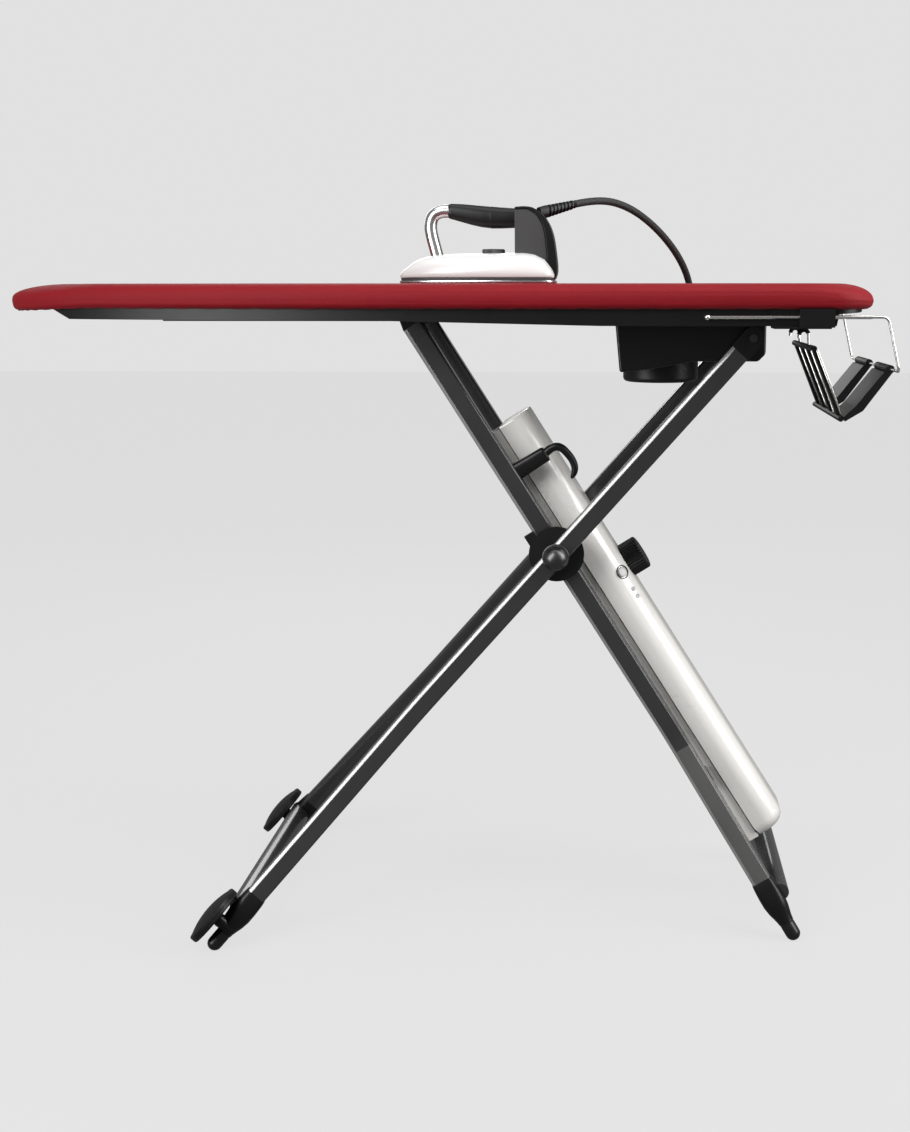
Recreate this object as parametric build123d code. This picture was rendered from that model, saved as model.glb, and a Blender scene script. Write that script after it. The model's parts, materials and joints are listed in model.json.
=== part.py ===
from build123d import *
from math import cos, sin, tan, radians
import os

# Steam ironing station: a heated board on folding scissor legs, with its iron,
# a steam generator between the inner legs and a wire rest for the iron.
# Millimetres. X runs from the nose to the heel of the board, Y across it, Z up
# from the floor. The origin is under the middle of the whole object.

# ---------------------------------------------------------------- driving sizes
nose_x = -614.5            # tip of the board's nose
heel_x = 579.5             # heel edge of the board
board_half = 200           # half width of the cover
taper_x = -10              # where the nose starts to narrow
heel_radius = 55
top_z = 916                # ironing surface
cover_z = 884              # lower edge of the cover's side
cover_skin = 3
pad_inset = 8
tray_inset = 14
tray_z = 868               # lower edge of the tray's skirt
deep_tray_z = 861.5        # the same, beside the fan housing
floor_z = 893              # underside of the tray's floor
sheet = 1.5

hinge_x, hinge_z = 428.5, 844      # outer legs' hinge on the fan housing
outer_angle = 48.5                 # outer legs above the floor line, degrees
outer_arm = 397.7                  # hinge to scissor pivot
inner_angle = 57.8                 # inner legs, leaning the other way
slider_z = 877                     # slider axle under the tray
outer_half, inner_half = 108, 75   # tube centre lines from the middle plane
outer_bend, inner_bend = 300, 310  # where each tube starts to splay, below the pivot
outer_splay, inner_splay = 13.2, 12.0
outer_tube_end, inner_tube_end = 635, 554
tube_wide, tube_thick, tube_wall = 27.5, 22, 1.5
tube_round = 7
foot_radius = 10.5
sole_lift = 9.8            # centre of the foot's ball above the floor
gap = 0.05                 # running clearance on pins, radial

pin_radius = 6
disc_radius = 38.5
ball_radius, ball_y = 17.7, 125
wheel_radius, wheel_thick = 43, 11
wheel_s, wheel_y, wheel_n = 686, 204, -27     # wheel centre in the outer legs' frame
housing_x0, housing_x1, housing_half = 242, 448, 95
housing_z = 797
drum_x, drum_radius, drum_z = 309, 53, 780

generator_top, generator_end = -190, 525   # along the inner legs from the pivot
generator_half, generator_low, generator_seam, generator_high = 50, -8, 21, 68
generator_wall = 2.5
cap_s, cap_radius, cap_high = 74.5, 25.3, 28.5
button_s, button_radius, button_travel = 79, 8, 1.5

rod_y, rod_z, rod_radius, loop_radius = 190, 873, 2.5, 1.8
rod_x0, rod_bend_x = 363, 592.5
knee_x, knee_z = 609, 804
rest_base_x, rest_base_z = 548, 738
rest_top_x, rest_top_z = 510.5, 830
fold_x, fold_z = 570, 750

iron_x0, iron_x1, iron_half = -60.5, 160.5, 56
hose_diameter = 10.5

os.makedirs("parts", exist_ok=True)

# ---------------------------------------------------------------- leg frames
across = Vector(0, 1, 0)
outer_down = Vector(-cos(radians(outer_angle)), 0, -sin(radians(outer_angle)))
inner_down = Vector(cos(radians(inner_angle)), 0, -sin(radians(inner_angle)))
pivot = Vector(hinge_x, 0, hinge_z) + outer_down * outer_arm
inner_arm = (slider_z - pivot.Z) / sin(radians(inner_angle))
outer = Plane(origin=pivot, x_dir=outer_down, z_dir=outer_down.cross(across))
inner = Plane(origin=pivot, x_dir=inner_down, z_dir=inner_down.cross(across))
slider_x = (pivot - inner_down * inner_arm).X

nodes = {}


def keep(name, *solids):
    """Collect one node from one or more separate solids."""
    flat = []
    for item in solids:
        flat += item.solids()
    nodes[name] = flat[0] if len(flat) == 1 else Compound(children=flat)


def box(x0, x1, y0, y1, z0, z1):
    return Pos((x0 + x1) / 2, (y0 + y1) / 2, (z0 + z1) / 2) * Box(x1 - x0, y1 - y0, z1 - z0)


def rod(start, end, radius):
    """A round bar between two points."""
    start, end = Vector(*start), Vector(*end)
    plane = Plane(origin=start, z_dir=end - start)
    return extrude(plane * Circle(radius), (end - start).length)


def pin_y(x, z, y0, y1, radius):
    """A round bar along Y, from y0 to y1, at x and z."""
    return rod((x, y0, z), (x, y1, z), radius)


def turned(profile):
    """A solid of revolution about local X from points of distance and radius."""
    points = [(profile[0][0], 0)] + profile + [(profile[-1][0], 0)]
    return revolve(make_face(Polyline(*points, close=True)), Axis.X)


def side_prism(points, y0, y1):
    """A prism along Y whose outline is given in X and Z."""
    face = Plane.XZ.offset(-y0) * make_face(Polyline(*points, close=True))
    return extrude(face, -(y1 - y0))


def mirrored(shape):
    return mirror(shape, Plane.XZ)


# ---------------------------------------------------------------- board
def board_outline(inset):
    half, nose, heel = board_half - inset, nose_x + inset, heel_x - inset
    upper = Bezier((nose, 0), (nose, half * 0.42), (taper_x - 330, half), (taper_x, half))
    lower = Bezier((taper_x, -half), (taper_x - 330, -half), (nose, -half * 0.42), (nose, 0))
    sides = Polyline((taper_x, half), (heel, half), (heel, -half), (taper_x, -half))
    face = make_face(Curve() + [upper, sides, lower])
    corners = face.vertices().sort_by(Axis.X)[-2:]
    return fillet(corners, heel_radius - inset)


def slab(inset, z0, z1):
    return extrude(Pos(0, 0, z0) * board_outline(inset), z1 - z0)


def make_board():
    side = [(nose_x, cover_z), (-531, 882), (-501.5, tray_z), (-70, tray_z),
            (225.5, deep_tray_z), (528, deep_tray_z), (531, 876.5), (560, 878.5),
            (heel_x, cover_z), (heel_x, 900), (nose_x, 900)]
    tray = slab(tray_inset, deep_tray_z, 900) & side_prism(side, -board_half, board_half)
    tray -= slab(tray_inset + sheet, deep_tray_z - 1, floor_z)
    tray -= slab(tray_inset + sheet, floor_z + sheet, 901)
    tray -= Pos(drum_x, 0, floor_z) * Cylinder(44, 10)
    for x0, x1 in ((-26, 6), (58, 86)):
        for y in (-1, 1):
            tray -= box(x0, x1, y * 186 - 0.8, y * 186 + 0.8, 875, 878)
    keep("tray_shell", tray)

    holes = GridLocations(45, 50, 24, 7)
    plate = board_outline(tray_inset)
    inside = board_outline(tray_inset + 12)
    drilled = [Pos(p.position.X, p.position.Y) * Circle(3) for p in holes
               if inside.is_inside(Vector(p.position.X, p.position.Y, 0))]
    keep("perforated_top", extrude(Pos(0, 0, 900) * (plate - drilled), sheet))

    keep("felt_pad", slab(pad_inset, 900 + sheet, top_z - cover_skin - 0.2))

    cover = slab(0, cover_z, top_z)
    cover = fillet(cover.faces().sort_by(Axis.Z)[-1].edges(), 10)
    cover -= slab(4, cover_z - 1, top_z - cover_skin)
    keep("board_cover", cover)

    rail = box(-364, 38, 96, 118, 866, floor_z) - box(-365, 39, 95, 116.5, 867.5, 891.5)
    keep("slide_rails", rail, mirrored(rail))


def make_fan():
    low_x = housing_x0 + 9
    belly = [(low_x, housing_z), (276, 799.5), (302, 803), (328, 808), (352, 812)]
    profile = [(housing_x0, floor_z), *belly, (housing_x1 - 8, 812), (housing_x1, 820),
               (housing_x1, floor_z)]
    body = side_prism(profile, -housing_half, housing_half)
    body = fillet(body.edges().filter_by(Axis.Z), 6)
    wall = 2.5
    hollow = [(housing_x0 + wall, floor_z + 1), (low_x + wall, housing_z + wall),
              *[(x, z + wall) for x, z in belly[1:]], (housing_x1 - 9, 812 + wall),
              (housing_x1 - wall, 821), (housing_x1 - wall, floor_z + 1)]
    shell = body - side_prism(hollow, -housing_half + wall, housing_half - wall)
    shell -= Pos(drum_x, 0, housing_z) * Cylinder(49, 40)
    for side in (-1, 1):
        shell -= pin_y(hinge_x, hinge_z, side * 90, side * 97, 4)
    keep("fan_housing", shell)

    drum = Pos(drum_x, 0, (drum_z + 815) / 2) * Cylinder(drum_radius, 815 - drum_z)
    drum = fillet(drum.faces().sort_by(Axis.Z)[0].edges(), 6)
    drum -= Pos(drum_x, 0, (drum_z + wall + 816) / 2) * Cylinder(drum_radius - wall, 816 - drum_z - wall)
    drum -= body
    for turn in PolarLocations(38, 16):
        drum -= Pos(drum_x, 0, drum_z) * turn * Box(16, 3, 8)
    keep("fan_bowl", drum)

    base = drum_z + wall
    motor = Pos(drum_x, 0, base + 10) * Cylinder(28, 20)
    motor = fillet(motor.edges(), 3)
    motor += Pos(drum_x, 0, base + 37) * Cylinder(3, 36)
    keep("fan_motor", motor)

    wheel = Pos(0, 0, 811) * Cylinder(46, 2) + Pos(0, 0, 822) * Cylinder(9, 24)
    ring = Pos(0, 0, 833) * (Cylinder(46, 2) - Cylinder(34, 3))
    blade = Pos(34, 0, 822) * Rot(0, 0, 30) * Box(22, 1.6, 22)
    blades = [Rot(0, 0, 30 * i) * blade for i in range(12)]
    wheel = wheel + ring + blades
    wheel -= Pos(0, 0, 822) * Cylinder(3 + gap, 40)
    keep("fan_impeller", Pos(drum_x, 0, 0) * wheel)


def make_hinge_bolts():
    bolt = pin_y(hinge_x, hinge_z, 88, 120, 4)
    bolt += pin_y(hinge_x, hinge_z, 119.3, 121.4, 5.4)
    bolt += pin_y(hinge_x, hinge_z, 88, 92.5, 6.5)
    keep("hinge_bolts", bolt, mirrored(bolt))


# ---------------------------------------------------------------- legs
def tube_section(width, thick, corner):
    return RectangleRounded(thick, width, corner)


def leg_tube(start, bend, end, half, splay):
    """One leg tube in its frame: straight, then splayed outwards below the bend."""
    out = half + (end - bend) * tan(radians(splay))
    path = FilletPolyline((start, half, 0), (bend, half, 0), (end, out, 0), radius=260)
    first = Plane(origin=(start, half, 0), x_dir=(0, 1, 0), z_dir=(1, 0, 0))
    tube = sweep(first * tube_section(tube_wide, tube_thick, tube_round), path=path)
    bore = sweep(first * tube_section(tube_wide - 2 * tube_wall, tube_thick - 2 * tube_wall,
                                      tube_round - tube_wall), path=path)
    return tube - bore


def plug_bar(length):
    """A bar along X that fills a tube's end with a little room."""
    face = RectangleRounded(tube_thick - 2 * tube_wall - 1, tube_wide - 2 * tube_wall - 1, tube_round - tube_wall)
    return extrude(Plane(origin=(-length / 2, 0, 0), x_dir=(0, 1, 0), z_dir=(1, 0, 0)) * face, length)


def top_end(tube_start, eye_s, eye_radius, half, bore):
    """The plastic or forged end that closes a tube's top and carries its eye."""
    block = box(eye_s, tube_start, half - tube_thick / 2, half + tube_thick / 2,
                -eye_radius, eye_radius)
    shoulder = side_prism([(tube_start, -tube_wide / 2), (tube_start, tube_wide / 2),
                           (eye_s + 4, eye_radius), (eye_s + 4, -eye_radius)],
                          half - tube_thick / 2, half + tube_thick / 2)
    eye = pin_y(eye_s, 0, half - tube_thick / 2, half + tube_thick / 2, eye_radius)
    plug = Pos(tube_start + 12, half, 0) * plug_bar(24.5)
    end = block + shoulder + eye + plug
    return end - pin_y(eye_s, 0, half - 30, half + 30, bore)


def foot_frame(leg, tube_end, bend, half, splay):
    """Local frame at a tube's lower end, X along the splayed tube."""
    out = half + (tube_end - bend) * tan(radians(splay))
    along = Vector(cos(radians(splay)), sin(radians(splay)), 0)
    return Plane(origin=(tube_end, out, 0), x_dir=along, z_dir=(0, 0, 1))


def make_foot(leg, down, tube_end, bend, half, splay):
    """End cap and rubber foot in the leg frame, for the +Y side."""
    local = foot_frame(leg, tube_end, bend, half, splay)
    ball = ((pivot.Z - sole_lift) / -down.Z - tube_end) / cos(radians(splay))
    cap = local * turned([(0, 14.5), (2, 15.5), (18, 16.6), (34, 16.4), (46, 14.6), (56, 12), (62, 11.2),
                          (62, 6.2), (ball - 6, 6.2)])
    cap += local * Pos(-11, 0, 0) * plug_bar(24)
    tip = local * (Pos((62 + ball) / 2, 0, 0) * Rot(0, 90, 0) * Cylinder(foot_radius, ball - 62))
    tip += local * Pos(ball, 0, 0) * Sphere(foot_radius)
    tip -= local * Rot(0, 90, 0) * Cylinder(6.3, 2 * (ball - 5.9))
    return cap, tip


leg_tubes = {}


def cross_bar(s, n, length, radius):
    """The bar between two feet: an oblong section that reaches from the tubes to n."""
    face = SlotOverall(abs(n) + 2 * radius, 2 * radius)
    plane = Plane(origin=(s, -length / 2, n / 2), x_dir=(0, 0, 1), z_dir=(0, 1, 0))
    return extrude(plane * face, length)


def make_legs(prefix, leg, down, tube_start, eye_s, eye_radius, eye_bore, bend, tube_end,
              half, splay, bar_s, bar_n):
    tube = leg_tube(tube_start, bend, tube_end, half, splay)
    tube -= pin_y(0, 0, half - 30, half + 30, pin_radius + (gap if prefix == "inner" else 0))
    cap, tip = make_foot(leg, down, tube_end, bend, half, splay)
    bar_half = half + (bar_s - bend) * tan(radians(splay))
    bar = cross_bar(bar_s, bar_n, 2 * bar_half, 12.5)
    end = top_end(tube_start, eye_s, eye_radius, half, eye_bore)
    place = leg.location
    leg_tubes[prefix] = tube
    bar -= cap
    bar -= mirrored(cap)
    bar -= tube
    bar -= mirrored(tube)
    bar = bar.solids().sort_by(SortBy.VOLUME)[-1]
    if prefix == "outer":
        cap += wheel_stub()
    floor = box(-2000, 2000, -500, 500, 0, 1000)
    tip = (place * tip) & floor
    keep(prefix + "_tube_far", place * tube)
    keep(prefix + "_tube_near", place * mirrored(tube))
    keep(prefix + "_top_ends", place * end, place * mirrored(end))
    keep(prefix + "_foot_bar", place * bar)
    keep(prefix + "_end_caps", place * cap, place * mirrored(cap))
    keep(prefix + "_feet", tip, mirrored(tip))


def wheel_stub():
    """The wheel's stub axle, square to the outer leg on its upper side."""
    inner_face = wheel_n + wheel_thick / 2
    stub = rod((wheel_s, wheel_y, -4), (wheel_s, wheel_y, inner_face + 1), 8)
    return stub + rod((wheel_s, wheel_y, -4), (wheel_s, wheel_y, wheel_n - 7), 4)


def make_wheels():
    depth = wheel_thick
    profile = [(0, 13), (0, 30), (-1.5, 32), (-1.5, wheel_radius - 1.5), (0, wheel_radius),
               (depth, wheel_radius), (depth + 3, wheel_radius * 0.72), (depth + 6, wheel_radius * 0.4),
               (depth + 7, 8), (depth + 7, 0)]
    points = [(0, 0)] + [(-a, r) for a, r in profile]
    disc = revolve(make_face(Polyline(*[(a, r) for a, r in points], close=True)), Axis.X)
    start = Plane(origin=(wheel_s, wheel_y, wheel_n + depth / 2), x_dir=(0, 0, 1), z_dir=(1, 0, 0))
    disc = start.location * disc
    disc -= rod((wheel_s, wheel_y, 0), (wheel_s, wheel_y, wheel_n - 7.5), 4 + gap)
    place = outer.location
    keep("wheel_far", place * disc)
    keep("wheel_near", place * mirrored(disc))


def make_pivot():
    x, z = pivot.X, pivot.Z
    pin = pin_y(x, z, 60, 121, pin_radius) + pin_y(x, z, 57, 60.5, 9)
    keep("pivot_pins", pin, mirrored(pin))
    ball = Pos(x, ball_y, z) * Sphere(ball_radius)
    ball -= box(x - 30, x + 30, 90, 119.4, z - 30, z + 30)
    ball += pin_y(x, z, 119.4, 121.6, ball_radius + 0.9)
    ball -= pin_y(x, z, 110, 121, pin_radius)
    keep("ball_caps", ball, mirrored(ball))
    hub = pin_y(x, z, 91.9, 96.9, disc_radius) - pin_y(x, z, 80, 130, pin_radius)
    keep("hub_discs", hub, mirrored(hub))
    disc = pin_y(0, 0, 86.2, 91.6, disc_radius - 1)
    tooth = box(-44, -24, 86.2, 91.6, -26, -12)
    disc = disc + tooth - pin_y(0, 0, 80, 130, pin_radius + gap)
    place = inner.location
    keep("ratchet_discs", place * disc, place * mirrored(disc))


def make_slider():
    x, z = slider_x, slider_z
    axle = pin_y(x, z, -95, 95, 5)
    tips = pin_y(x, z, -113, 113, 4)
    keep("slider_axle", axle + tips)
    roller = pin_y(x, z, 98, 112, 7) - pin_y(x, z, 97, 113, 4)
    keep("slide_rollers", roller, mirrored(roller))


# ---------------------------------------------------------------- generator
def generator_section(inset, low, high, round_top):
    half = generator_half - inset
    face = Pos(0, (low + high) / 2) * Rectangle(2 * half, high - low)
    top = face.vertices().group_by(Axis.Y)[-1]
    return fillet(top, round_top) if round_top else face


def along_leg(face, s0, s1):
    """Push a section given in Y and height out of the leg from s0 to s1."""
    plane = Plane(origin=(s0, 0, 0), x_dir=(0, 1, 0), z_dir=(1, 0, 0))
    return extrude(plane * face, s1 - s0)


def on_round(s, depth, radius, height, side=-1):
    """A cylinder square to the rounded shoulder of the upper shell."""
    lean = radians(45)
    centre_y, centre_n, shoulder = generator_half - 30, generator_high - 30, 30
    out = Vector(0, side * sin(lean), cos(lean))
    base = Vector(s, side * centre_y, centre_n) + out * (shoulder + depth)
    return extrude(Plane(origin=base, z_dir=out) * Circle(radius), height)


def make_generator():
    w = generator_wall
    s0, s1 = generator_top, generator_end
    upper = along_leg(generator_section(0, generator_seam, generator_high, 30), s0, s1)
    end_edges = upper.faces().sort_by(Axis.X)[-1].edges()
    upper = fillet(end_edges.filter_by(lambda e: e.center().Z > generator_seam + 1), 7)
    upper -= along_leg(generator_section(w, generator_seam - 1, generator_high - w, 27.5), s0 + w, s1 - w)
    upper -= rod((cap_s, 0, 50), (cap_s, 0, 80), 18)
    upper -= on_round(button_s, -6, button_radius + 0.4, 12)
    for s in (108, 120):
        upper -= on_round(s, -6, 2.5, 12)

    lower = along_leg(Pos(0, (generator_low + generator_seam) / 2) *
                      Rectangle(92, generator_seam - generator_low), s0 + 3, s1 - 3)
    lower = fillet(lower.edges().filter_by(Axis.X).group_by(Axis.Z)[0], 8)
    lower -= along_leg(Pos(0, (generator_low + w + generator_seam + 1) / 2) *
                       Rectangle(92 - 2 * w, generator_seam + 1 - generator_low - w), s0 + 3 + w, s1 - 3 - w)

    tank = along_leg(Pos(0, 32) * RectangleRounded(70, 44, 14), -40, 330)
    heater = rod((344, 0, 20), (344, 0, 46), 34) + rod((344, 0, 14), (344, 0, 20), 40)
    tank = tank + rod((344, 0, 46.2), (344, 0, 52), 30)
    tank -= rod((cap_s, 0, 40), (cap_s, 0, 80), 14)
    tank -= rod((344, 0, 5), (344, 0, 46.2), 41)
    neck = rod((cap_s, 0, 53.8), (cap_s, 0, 76), 18) - rod((cap_s, 0, 50), (cap_s, 0, 80), 14)
    neck = neck - along_leg(Pos(0, 32) * RectangleRounded(70, 44, 14), -40, 330)

    lid = rod((cap_s, 0, generator_high + 0.4), (cap_s, 0, generator_high + cap_high), cap_radius)
    lid = fillet(lid.faces().sort_by(Axis.Z)[-1].edges(), 2)
    for i in range(30):
        lid -= Pos(cap_s, 0, 0) * Rot(0, 0, 12 * i) * rod((cap_radius + 0.4, 0, 70), (cap_radius + 0.4, 0, 92), 1)
    lid -= rod((cap_s, 0, 60), (cap_s, 0, 78.5), 18 + gap)
    seal = rod((cap_s, 0, 76.2), (cap_s, 0, 78.5), 17.9) - rod((cap_s, 0, 70), (cap_s, 0, 80), 12)

    button = on_round(button_s, -4, button_radius, 5)
    lamps = [on_round(s, -3, 2.45, 3.4) for s in (108, 120)]

    clamps = []
    for s in (-120, 130, 400):
        slope = max(0, s - inner_bend) * tan(radians(inner_splay))
        clamp = box(s - 12, s + 12, 46.1, inner_half + slope, -6, 10) - leg_tubes["inner"]
        clamp = clamp.solids().sort_by(Axis.Y)[0]
        clamps += [clamp, mirrored(clamp)]

    inlet = rod((s1 - 3, 0, 6), (s1 + 9, 0, 6), 9) - rod((s1 - 2, 0, 6), (s1 + 10, 0, 6), 4)

    post = box(-137, -113, -83, -67, tube_wide / 2, 60)
    post = fillet(post.edges().filter_by(Axis.Z), 6)
    bow = FilletPolyline((-125, -75, 58), (-127, -75, 80), (-105, -75, 89), (-82, -75, 86), (-74, -75, 74), radius=7)
    bow_plane = Plane(origin=(-125, -75, 58), x_dir=(0, 1, 0), z_dir=Vector(-2, 0, 22))
    hook = sweep(bow_plane * RectangleRounded(11, 8, 3), path=bow) - post

    place = inner.location
    keep("generator_upper_shell", place * upper)
    keep("generator_lower_shell", place * lower)
    keep("boiler_tank", place * tank)
    keep("heating_element", place * heater)
    keep("filler_neck", place * neck)
    keep("filler_cap", place * lid)
    keep("cap_seal", place * seal)
    keep("power_button", place * button)
    keep("lamp_windows", *[place * lamp for lamp in lamps])
    keep("generator_brackets", *[place * clamp for clamp in clamps])
    keep("mains_inlet", place * inlet)
    keep("hook_post", place * post)
    keep("cord_hook", place * hook)


# ---------------------------------------------------------------- iron rest
def make_rest():
    holder = box(479, 524, 186.2, 200, 860, 883.6) + box(444, 480, 186.2, 187.3, 859, 883.6)
    holder += box(448, 520, 168, 199, 858.3, 861.3)
    holder -= rod((430, rod_y, rod_z), (540, rod_y, rod_z), rod_radius + gap)
    keep("rest_holders", holder, mirrored(holder))

    path = FilletPolyline((rod_x0, -rod_y, rod_z), (rod_bend_x, -rod_y, rod_z), (knee_x, -rod_y, knee_z),
                          (knee_x, rod_y, knee_z), (rod_bend_x, rod_y, rod_z), (rod_x0, rod_y, rod_z), radius=9)
    start = Plane(origin=(rod_x0, -rod_y, rod_z), z_dir=(1, 0, 0))
    wire = sweep(start * Circle(loop_radius), path=path)
    for side in (-1, 1):
        wire += rod((rod_x0, side * rod_y, rod_z), (572, side * rod_y, rod_z), rod_radius)
        wire += Pos(rod_x0, side * rod_y, rod_z) * Sphere(4)
    keep("rest_wire", wire)

    thick = 3
    outline = [(knee_x - 8, knee_z - 3.5), (knee_x + 4, knee_z - 3), (fold_x + 5, fold_z - 1),
               (rest_base_x + 4, rest_base_z - thick), (rest_base_x + 2, rest_base_z + thick), (fold_x - 5, fold_z + 5)]
    plates = [side_prism(outline, y0, y1) for y0, y1 in ((-130, -35), (35, 130))]
    clips = [pin_y(knee_x, knee_z, y0, y1, 5.5) - pin_y(knee_x, knee_z, y0 - 1, y1 + 1, loop_radius)
             for y0, y1 in ((-130, -35), (35, 130))]
    plates = [plate - pin_y(knee_x, knee_z, -140, 140, 5.5) + clip for plate, clip in zip(plates, clips)]
    keep("rest_plates", *plates)

    drop = Vector(rest_base_x - rest_top_x, 0, rest_base_z - rest_top_z).normalized()
    normal = drop.cross(across)
    rack = None
    for y in (-100, -33, 33, 100):
        strip_plane = Plane(origin=(rest_top_x, y, rest_top_z), x_dir=drop, z_dir=normal)
        strip = strip_plane.location * Pos(48, 0, 0) * Box(96, 14, 4)
        rack = strip if rack is None else rack + strip
    rack += pin_y(rest_top_x, rest_top_z, -110, 110, 4)
    rack += pin_y(rest_base_x - 2, rest_base_z, -130, 130, 3.5)
    for plate in plates:
        rack -= plate
    keep("rest_rack", rack.solids().sort_by(SortBy.VOLUME)[-1])

    hooks = []
    for y in (-50, 50):
        bow = FilletPolyline((rest_top_x, y, rest_top_z + 4), (rest_top_x - 1, y, rest_top_z + 21),
                             (rest_top_x - 13, y, rest_top_z + 23), (rest_top_x - 14, y, rest_top_z + 12), radius=5)
        base = Plane(origin=(rest_top_x, y, rest_top_z + 4), z_dir=(-1, 0, 17))
        hooks.append(sweep(base * Circle(1.8), path=bow) - pin_y(rest_top_x, rest_top_z, -110, 110, 4))
    keep("rest_hooks", *hooks)


# ---------------------------------------------------------------- iron
def iron_outline(inset):
    half, nose, heel = iron_half - inset, iron_x0 + inset, iron_x1 - inset
    upper = Bezier((nose, 0), (nose + 4, half * 0.55), (nose + 70, half), (nose + 150, half))
    lower = Bezier((nose + 150, -half), (nose + 70, -half), (nose + 4, -half * 0.55), (nose, 0))
    back = Polyline((nose + 150, half), (heel, half - 8), (heel, -half + 8), (nose + 150, -half))
    return make_face(Curve() + [upper, back, lower])


def make_iron():
    sole_z = top_z
    keep("iron_soleplate", extrude(Pos(0, 0, sole_z) * iron_outline(0), 4))
    keep("iron_skirt", extrude(Pos(0, 0, sole_z + 4) * iron_outline(2), 4))
    hull = extrude(Pos(0, 0, sole_z + 8) * iron_outline(1), 40)
    profile = [(-62, 922), (-56, 930), (-36, 947), (-6, 955), (60, 959), (100, 960), (122, 958),
               (134, 950), (148, 938), (162, 922)]
    hull = hull & side_prism(profile, -60, 60)
    hull -= extrude(Pos(0, 0, sole_z + 7) * iron_outline(5), 12)
    stem = (-6, 0, 953)
    tube_path = FilletPolyline(stem, (-17, 0, 987), (-9, 0, 1015), (18, 0, 1014), radius=14)
    tube_start = Plane(origin=stem, z_dir=Vector(-11, 0, 34))
    tube = sweep(tube_start * Circle(8.8), path=tube_path) - hull
    keep("iron_shell", hull)
    grip_plane = Plane(origin=(10, 0, 1012), x_dir=(0, 1, 0), z_dir=Vector(94, 0, -6))
    grip = extrude(grip_plane * RectangleRounded(28, 27, 11), 94)
    keep("iron_handle_tube", tube.solids().sort_by(SortBy.VOLUME)[-1] - grip)
    keep("iron_grip", grip)
    arch = [(104, 1016.5), (118, 1017), (125, 1015.5), (136, 1007.5), (145, 988), (149, 955)]
    plate = side_prism([(104, 955), *arch, (149, 942)], -19, 19)
    plate = plate - hull - grip
    shell = side_prism([(104, 1021), (119, 1021.5), (132, 1018), (147, 1005.5), (157, 984), (162, 953),
                        (163, 932), (160, 925.5), (149.2, 938), *[(x + 0.2, z + 0.2) for x, z in arch[::-1]]],
                       -20, 20)
    keep("iron_rear_plate", plate.solids().sort_by(SortBy.VOLUME)[-1])
    keep("iron_rear_shell", (shell - hull - plate - grip).solids().sort_by(SortBy.VOLUME)[-1])
    dial = Pos(73, 0, 962.2) * Cylinder(16, 3.6)
    keep("steam_dial", dial - hull)
    exit_point, relief_end = Vector(140, 0, 1013), Vector(186, 28, 1026)
    relief_line = relief_end - exit_point
    relief_plane = Plane(origin=exit_point, z_dir=relief_line)
    relief = extrude(relief_plane * Circle(9), relief_line.length, taper=4.2)
    keep("hose_strain_relief", relief - nodes["iron_rear_plate"] - nodes["iron_rear_shell"] - grip)


# ---------------------------------------------------------------- steam hose
# The hose leaves the strain relief, arches over the far edge of the board and
# turns under it. The rest of it is a hank of three flat turns under the tray,
# which ends in a socket on the fan housing.
hose_route = [(186.4, 28.24, 1026.11), (220, 48.7, 1034.6), (262, 84, 1026), (301, 124, 1000),
              (334, 164, 965), (355, 199, 928), (362, 221, 892), (356, 217, 858), (335, 200, 840),
              (300, 185, 841), (265, 178, 863)]
hank_x0, hank_x1, hank_y0, hank_y1 = 222, 412, 124, 184
hank_z0, hank_turns = 860, 3


def corner_radii(points):
    radii = []
    for before, here, after in zip(points, points[1:], points[2:]):
        a, b = Vector(*here) - Vector(*before), Vector(*after) - Vector(*here)
        turn = a.get_angle(b)
        radii.append(0.45 * min(a.length, b.length) / tan(radians(turn) / 2))
    return radii


def make_hose():
    path = FilletPolyline(*hose_route, radius=corner_radii(hose_route))
    start = Plane(origin=hose_route[0], z_dir=Vector(*hose_route[1]) - Vector(*hose_route[0]))
    hose = sweep(start * Circle(hose_diameter / 2), path=path)
    middle_x, middle_y = (hank_x0 + hank_x1) / 2, (hank_y0 + hank_y1) / 2
    wide, deep = hank_x1 - hank_x0, hank_y1 - hank_y0
    tall = hank_turns * hose_diameter
    ring = SlotOverall(wide, deep) - SlotOverall(wide - 2 * hose_diameter - 1, deep - 2 * hose_diameter - 1)
    hank = extrude(Pos(middle_x, middle_y, hank_z0) * ring, tall)
    keep("steam_hose", (hose - hank).solids().sort_by(SortBy.VOLUME)[-1])
    keep("hose_hank", hank)
    socket = pin_y(300, 872, housing_half, hank_y0, 9) + pin_y(300, 872, housing_half, housing_half + 6, 13)
    keep("hose_socket", socket)


make_board()
make_fan()
make_hinge_bolts()
outer_start, outer_eye = -outer_arm + 26, 15
inner_start, inner_eye = -inner_arm + 21, 10
make_legs("outer", outer, outer_down, outer_start, -outer_arm, outer_eye, 4 + gap, outer_bend,
          outer_tube_end, outer_half, outer_splay, 660, -7.5)
make_legs("inner", inner, inner_down, inner_start, -inner_arm, inner_eye, 5, inner_bend,
          inner_tube_end, inner_half, inner_splay, 577, 14.5)
make_wheels()
make_pivot()
make_slider()
make_generator()
make_rest()
make_iron()
make_hose()

for name, shape in nodes.items():
    export_step(shape, "parts/" + name + ".step")
print(len(nodes), "nodes")
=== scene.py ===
import bpy
import bmesh
import json
from math import sin, cos, tan, pi, radians, sqrt
from types import SimpleNamespace
from mathutils import Vector, Matrix, noise


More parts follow.
